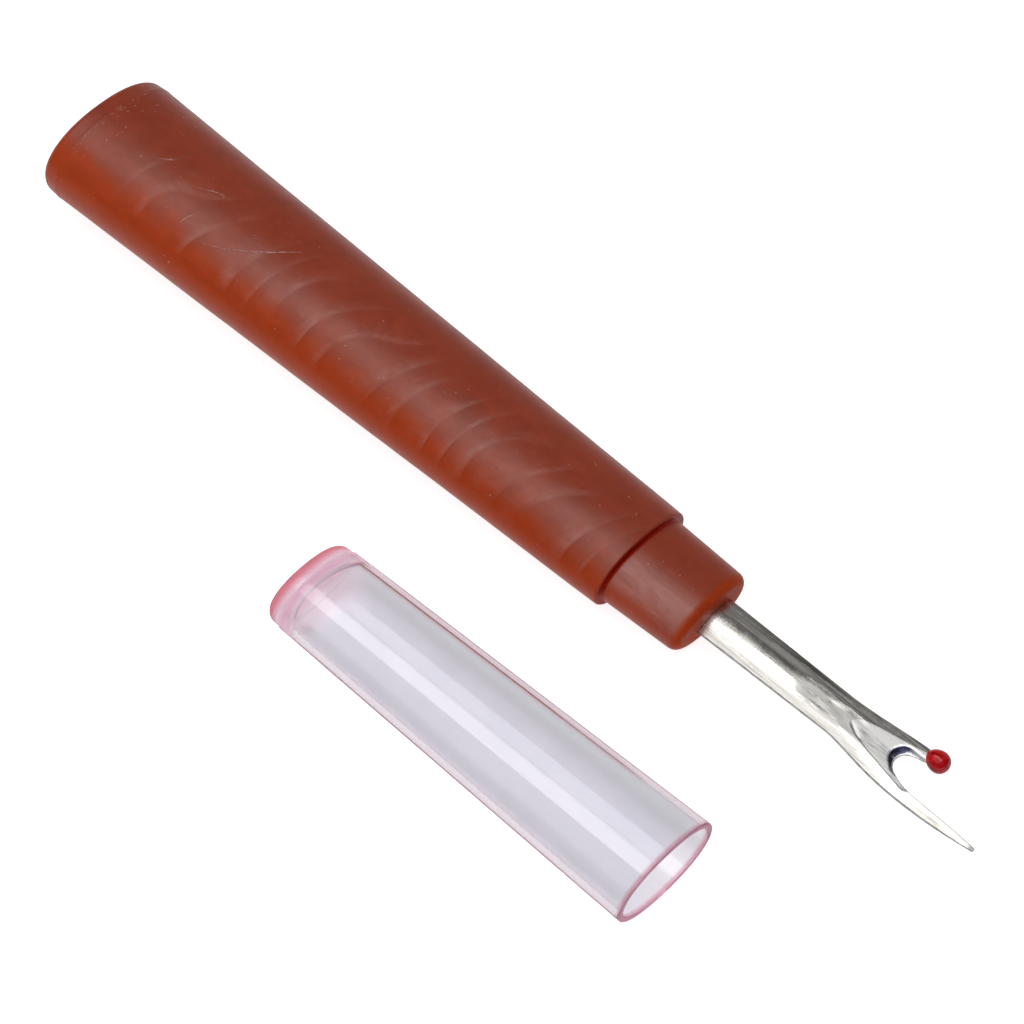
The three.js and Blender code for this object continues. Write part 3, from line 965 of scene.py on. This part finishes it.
def resample(points, count):
    """The same path with evenly spaced points."""
    lengths = [0.0]
    for a, b in zip(points, points[1:]):
        lengths.append(lengths[-1] + (b - a).length)
    result = []
    index = 0
    for k in range(count):
        target = lengths[-1] * k / (count - 1)
        while index < len(lengths) - 2 and lengths[index + 1] < target:
            index += 1
        span = lengths[index + 1] - lengths[index]
        result.append(points[index].lerp(points[index + 1], (target - lengths[index]) / span))
    return result


def split_at_x(points, x):
    """A path cut in two where it first reaches x."""
    index = next(i for i, p in enumerate(points) if p.x >= x)
    a, b = points[index - 1], points[index]
    cut = a.lerp(b, (x - a.x) / (b.x - a.x))
    return points[:index] + [cut], [cut] + points[index:]


def fork_paths():
    """Outer and inner paths of the two lanes, root to prong end, with matching point counts."""
    root_x = SPIGOT_LENGTH - 1.4
    split_x = 35.3
    along_shank, along_low, along_high = 150, 110, 44
    low = joined(
        straight((root_x, -SHANK_HALF_WIDTH), (SPIGOT_LENGTH, -SHANK_HALF_WIDTH), 2),
        straight((SPIGOT_LENGTH, -SHANK_HALF_WIDTH), (WAIST_X, -WAIST_HALF_WIDTH), 20),
        bezier([(WAIST_X, -WAIST_HALF_WIDTH), (31, -2.45), (34, -3.2), (38.2, -3.34)], 40),
        bezier([(38.2, -3.34), (42, -3.45), (46, -3.12), (TIP_X, -2.74)], 40),
    )
    high = joined(
        straight((root_x, SHANK_HALF_WIDTH), (SPIGOT_LENGTH, SHANK_HALF_WIDTH), 2),
        straight((SPIGOT_LENGTH, SHANK_HALF_WIDTH), (WAIST_X, WAIST_HALF_WIDTH), 20),
        bezier([(WAIST_X, WAIST_HALF_WIDTH), (32, 2.5), (35.6, 3.2), (37.9, 3.33)], 40),
        straight((37.9, 3.33), (BEAD_X + 0.3, BEAD_Y + 0.25), 8),
    )
    notch_low = joined(
        bezier([(CROTCH_X, 0), (CROTCH_X, -1.3), (38.2, -2.1), (40.5, -2.22)], 40),
        bezier([(40.5, -2.22), (43.5, -2.24), (46.8, -2.28), (TIP_X, -2.44)], 40),
    )
    notch_high = joined(
        bezier([(CROTCH_X, 0), (CROTCH_X, 1.05), (36.9, 1.75), (38.4, 1.9)], 40),
        straight((38.4, 1.9), (BEAD_X + 0.3, BEAD_Y - 0.45), 8),
    )
    middle = straight((root_x, 0), (CROTCH_X, 0), 2)
    low_shank, low_prong = split_at_x(low, split_x)
    high_shank, high_prong = split_at_x(high, split_x)
    inner_shank = resample(middle, along_shank)
    low_lane = (
        joined(resample(low_shank, along_shank), resample(low_prong, along_low)),
        joined(inner_shank, resample(notch_low, along_low)),
    )
    high_lane = (
        joined(resample(high_shank, along_shank), resample(high_prong, along_high)),
        joined(inner_shank, resample(notch_high, along_high)),
    )
    return low_lane, high_lane, joined(notch_low[::-1], notch_high), high


def fork_sheet(bm, low_lane, high_lane, place):
    """One face of the fork over both lanes. Returns its border, in order round the outline."""
    shared = next(k for k, p in enumerate(low_lane[1]) if p.y < 0) - 1
    lanes = []
    for outer, inner in (low_lane, high_lane):
        rows = []
        for k, (a, b) in enumerate(zip(outer, inner)):
            row = [bm.verts.new(place(a.lerp(b, j / LANE_COLUMNS))) for j in range(LANE_COLUMNS)]
            weld = lanes[0][k][-1] if lanes and k <= shared else bm.verts.new(place(b))
            rows.append(row + [weld])
        for row, following in zip(rows, rows[1:]):
            for j in range(LANE_COLUMNS):
                bm.faces.new((row[j], row[j + 1], following[j + 1], following[j]))
        lanes.append(rows)
    low, high = lanes
    border = [row[0] for row in low] + low[-1][1:]
    border += [row[-1] for row in low[shared:-1][::-1]] + [row[-1] for row in high[shared + 1:]]
    border += high[-1][-2::-1] + [row[0] for row in high[-2::-1]]
    border += high[0][1:] + low[0][-2:0:-1]
    return border


def round_the_edges(bm, top, bottom):
    """Walls two matching borders together, with both corners rounded outwards."""
    steps = 4
    count = len(top)
    columns = []
    for i, (high, low) in enumerate(zip(top, bottom)):
        along = top[(i + 1) % count].co - top[i - 1].co
        out = Vector((along.y, -along.x, 0)).normalized()
        radius = min(EDGE_ROUND, 0.45 * (high.co.z - low.co.z))
        column = [high]
        for corner, inward, order in ((high, -1, range(1, steps + 1)), (low, 1, range(steps, 0, -1))):
            for k in order:
                turn = math.pi / 2 * k / steps
                lift = Vector((0, 0, inward * radius * (1 - math.cos(turn))))
                column.append(bm.verts.new(corner.co + out * radius * math.sin(turn) + lift))
        columns.append(column + [low])
    for i, column in enumerate(columns):
        following = columns[(i + 1) % count]
        for k in range(len(column) - 1):
            face = bm.faces.new((column[k], column[k + 1], following[k + 1], following[k]))
            if k >= steps - 1:
                face.material_index = 1


def blade_piece():
    low_lane, high_lane, notch, bead_side = fork_paths()

    def to_bead_side(p):
        """Distance across the blade from a point to the edge on the bead's side."""
        for a, b in zip(bead_side, bead_side[1:]):
            if a.x <= p.x <= b.x and b.x > a.x:
                return lerp(a.y, b.y, (p.x - a.x) / (b.x - a.x)) - p.y
        return 9.0

    def notch_gap(p):
        return min((p - q).length for q in notch) if p.x > 34 else 9.0

    def upper(p):
        gap = notch_gap(p)
        return Vector((p.x, p.y, steel_top(p.x, p.y, gap, to_bead_side(p))))

    def lower(p):
        return Vector((p.x, p.y, steel_bottom(p.x, p.y)))

    bm = bmesh.new()
    top = fork_sheet(bm, low_lane, high_lane, upper)
    upper_count = len(bm.verts)
    bottom = fork_sheet(bm, low_lane, high_lane, lower)
    round_the_edges(bm, top, bottom)
    ground = bm.verts.layers.float.new("ground")
    bevel = bm.verts.layers.float.new("bevel")
    rim = bm.verts.layers.float.new("rim")
    for index, vert in enumerate(bm.verts):
        x, y = vert.co.x, vert.co.y
        on_top = index < upper_count
        vert[ground] = arch_level(x, y) - hollow_level(x, y) if on_top else -0.5
        vert[rim] = max(0.0, 1 - notch_gap(Vector((x, y, 0)))) if on_top else 0.0
        vert[bevel] = bevel_share(y, notch_gap(Vector((x, y, 0)))) if on_top else 0.0
    bmesh.ops.translate(bm, verts=bm.verts, vec=(0, BLADE_OFFSET, 0))
    piece = finish_piece("blade_fork", bm, RIPPER, "ripper", "blade", steel_material())
    piece.data.materials.append(cut_edge_material())
    return piece


# ------------------------------------------------------------------ bead


def bead_piece():
    bm = bmesh.new()
    around = 64
    along = 48
    centre_x = BEAD_X + 0.1
    middle = arch_level(BEAD_X, BEAD_Y) - SHEET / 2
    rings = []
    for k in range(1, along):
        turn = math.pi * k / along
        x = centre_x - BEAD_LENGTH / 2 * math.cos(turn)
        radius = BEAD_RADIUS * math.sin(turn) * (1 - BEAD_NARROWING * math.cos(turn))
        ring = []
        for i in range(around):
            angle = 2 * math.pi * i / around
            ring.append(Vector((x, BEAD_Y + radius * math.cos(angle), middle + radius * math.sin(angle))))
        rings.append(ring)
    rows = skin_rings(bm, rings)
    close_with_pole(bm, rows[0], (centre_x - BEAD_LENGTH / 2, BEAD_Y, middle))
    close_with_pole(bm, rows[-1], (centre_x + BEAD_LENGTH / 2, BEAD_Y, middle))
    bmesh.ops.translate(bm, verts=bm.verts, vec=(0, BLADE_OFFSET, 0))
    return finish_piece("bead_tip", bm, RIPPER, "ripper", "bead", bead_material())


# ------------------------------------------------------------------ cap


def cap_piece():
    count = 160
    bm = bmesh.new()
    dome_face = inset(CAP_DOME, CAP_DOME_ROUND)
    stations = []
    for k in range(1, 10):
        share = k / 10
        x = -CAP_LENGTH - CAP_DOME_RISE * (1 - share * share)
        stations.append((x, (dome_face[0] * share, dome_face[1] * share)))
    stations += rounded_edge(-CAP_LENGTH + CAP_DOME_ROUND, CAP_DOME, CAP_DOME_ROUND, -1, 12)[::-1]
    stations += evenly(-CAP_LENGTH + CAP_DOME_ROUND, CAP_DOME, -CAP_TUBE - 0.6, CAP_DOME, 0.4)
    groove = inset(CAP_DOME, 0.16)
    stations += [(-CAP_TUBE - 0.6, CAP_DOME), (-CAP_TUBE - 0.45, inset(CAP_DOME, 0.05))]
    stations += [(-CAP_TUBE - 0.3, groove), (-CAP_TUBE - 0.16, groove)]
    stations += [(-CAP_TUBE - 0.05, inset(CAP_REAR, 0.08)), (-CAP_TUBE + 0.08, CAP_REAR)]
    stations += evenly(-CAP_TUBE + 0.08, CAP_REAR, -CAP_LIP, CAP_MOUTH, 0.8)
    stations += rounded_edge(-CAP_LIP, CAP_MOUTH, CAP_LIP, 1, 4)
    mouth_inside = inset(CAP_MOUTH, CAP_WALL)
    stations += rounded_edge(-CAP_LIP, mouth_inside, -CAP_LIP, -1, 4)[::-1]
    rear_inside = inset(blend_section(CAP_MOUTH, CAP_REAR, CAP_CAVITY / CAP_TUBE), CAP_WALL)
    stations += evenly(-CAP_LIP, mouth_inside, -CAP_CAVITY + CAP_END_DEPTH, rear_inside, 0.8)
    for k in range(1, 24):
        turn = math.pi / 2 * k / 24
        share = math.cos(turn) ** 0.7
        x = -CAP_CAVITY + CAP_END_DEPTH * (1 - math.sin(turn) ** 1.2)
        stations.append((x, (rear_inside[0] * share, rear_inside[1] * share)))
    rows = skin_rings(bm, [oval_ring(x, section, count) for x, section in stations])
    close_with_pole(bm, rows[0], (-CAP_LENGTH - CAP_DOME_RISE, 0, 0))
    close_with_pole(bm, rows[-1], (-CAP_CAVITY, 0, 0))
    return finish_piece("cap_shell", bm, CAP, "cap", "cap", cap_material())


# ------------------------------------------------------------------ stage, light and camera


def pale_floor():
    bm = bmesh.new()
    bmesh.ops.create_grid(bm, x_segments=2, y_segments=2, size=4.0)
    mesh = bpy.data.meshes.new("floor")
    bm.to_mesh(mesh)
    bm.free()
    floor = bpy.data.objects.new("floor", mesh)
    bpy.context.scene.collection.objects.link(floor)
    material, tree, shader = new_material("floor_white")
    shader.inputs["Base Color"].default_value = (0.62, 0.62, 0.62, 1)
    shader.inputs["Roughness"].default_value = 0.9
    shader.inputs["Specular IOR Level"].default_value = 0.1
    shader.inputs["Emission Color"].default_value = (1, 1, 1, 1)
    path = tree.nodes.new("ShaderNodeLightPath")
    shine = linear(tree, path.outputs["Is Camera Ray"], FLOOR_SHINE)
    tree.links.new(math_node(tree, "ADD", shine, FLOOR_GLOW), shader.inputs["Emission Strength"])
    floor.data.materials.append(material)


def overhead_box():
    """The long soft box above the ripper, along X. Its width is told as an angle from the table."""
    light = bpy.data.lights.new("overhead_box", "AREA")
    light.shape = "RECTANGLE"
    light.size = BOX_DISTANCE * (BOX_REACH[1] - BOX_REACH[0])
    light.size_y = 2 * BOX_DISTANCE * math.tan(math.radians(BOX_HALF_WIDTH))
    light.energy = BOX_RADIANCE * light.size * light.size_y * math.pi
    lamp = bpy.data.objects.new("overhead_box", light)
    direction = Vector((0, math.cos(math.radians(BOX_ANGLE)), math.sin(math.radians(BOX_ANGLE))))
    direction.x = (BOX_REACH[0] + BOX_REACH[1]) / 2
    lamp.location = direction * BOX_DISTANCE
    lamp.rotation_mode = "XYZ"
    lamp.rotation_euler = (math.radians(BOX_ANGLE - 90), 0, 0)
    bpy.context.scene.collection.objects.link(lamp)


def studio_world():
    """The room's glow by its angle round the X axis: dim beyond the ripper, bright overhead."""
    world = bpy.data.worlds.new("studio")
    bpy.context.scene.world = world
    world.use_nodes = True
    tree = world.node_tree
    background = tree.nodes["Background"]
    where = tree.nodes.new("ShaderNodeTexCoord")
    x, y, z = separate(tree, where.outputs["Generated"])
    angle = math_node(tree, "ARCTAN2", z, y)
    share = math_node(tree, "DIVIDE", angle, math.pi)
    glow = mask_ramp(tree, share, *[(degrees / 180, glow) for degrees, glow in ROOM_GLOW])
    side = ramp(tree, linear(tree, x, 0.5, 0.5), SIDE_FADE)
    path = tree.nodes.new("ShaderNodeLightPath")
    lit = times(tree, glow, side)
    seen = mix_colour(tree, path.outputs["Is Camera Ray"], lit, (1.0, 1.0, 1.0))
    tree.links.new(seen, background.inputs["Color"])


def studio_camera():
    """A long lens from the mouth end, on the cap's side, well above the table."""
    azimuth = math.radians(CAMERA_AZIMUTH)
    elevation = math.radians(CAMERA_ELEVATION)
    back = Vector((
        math.sin(azimuth) * math.cos(elevation),
        -math.cos(azimuth) * math.cos(elevation),
        math.sin(elevation),
    ))
    aim = Vector((SHOULDER.x + CAMERA_AIM[0], SHOULDER.y + CAMERA_AIM[1], 0.0))
    data = bpy.data.cameras.new("camera")
    data.sensor_width = 36.0
    data.lens = CAMERA_LENS
    data.clip_start = 0.01
    camera = bpy.data.objects.new("camera", data)
    camera.location = (aim + back * CAMERA_DISTANCE) * MM
    camera.rotation_mode = "QUATERNION"
    camera.rotation_quaternion = (-back).to_track_quat("-Z", "Y")
    bpy.context.scene.collection.objects.link(camera)
    bpy.context.scene.camera = camera


def render_look():
    scene = bpy.context.scene
    scene.view_settings.view_transform = "Standard"
    scene.cycles.use_denoising = True
    scene.cycles.seed = 7
    scene.cycles.max_bounces = 24
    scene.cycles.transmission_bounces = 20
    scene.cycles.transparent_max_bounces = 16
    scene.cycles.glossy_bounces = 8


handle_piece()
blade_piece()
bead_piece()
cap_piece()
pale_floor()
overhead_box()
studio_world()
studio_camera()
render_look()
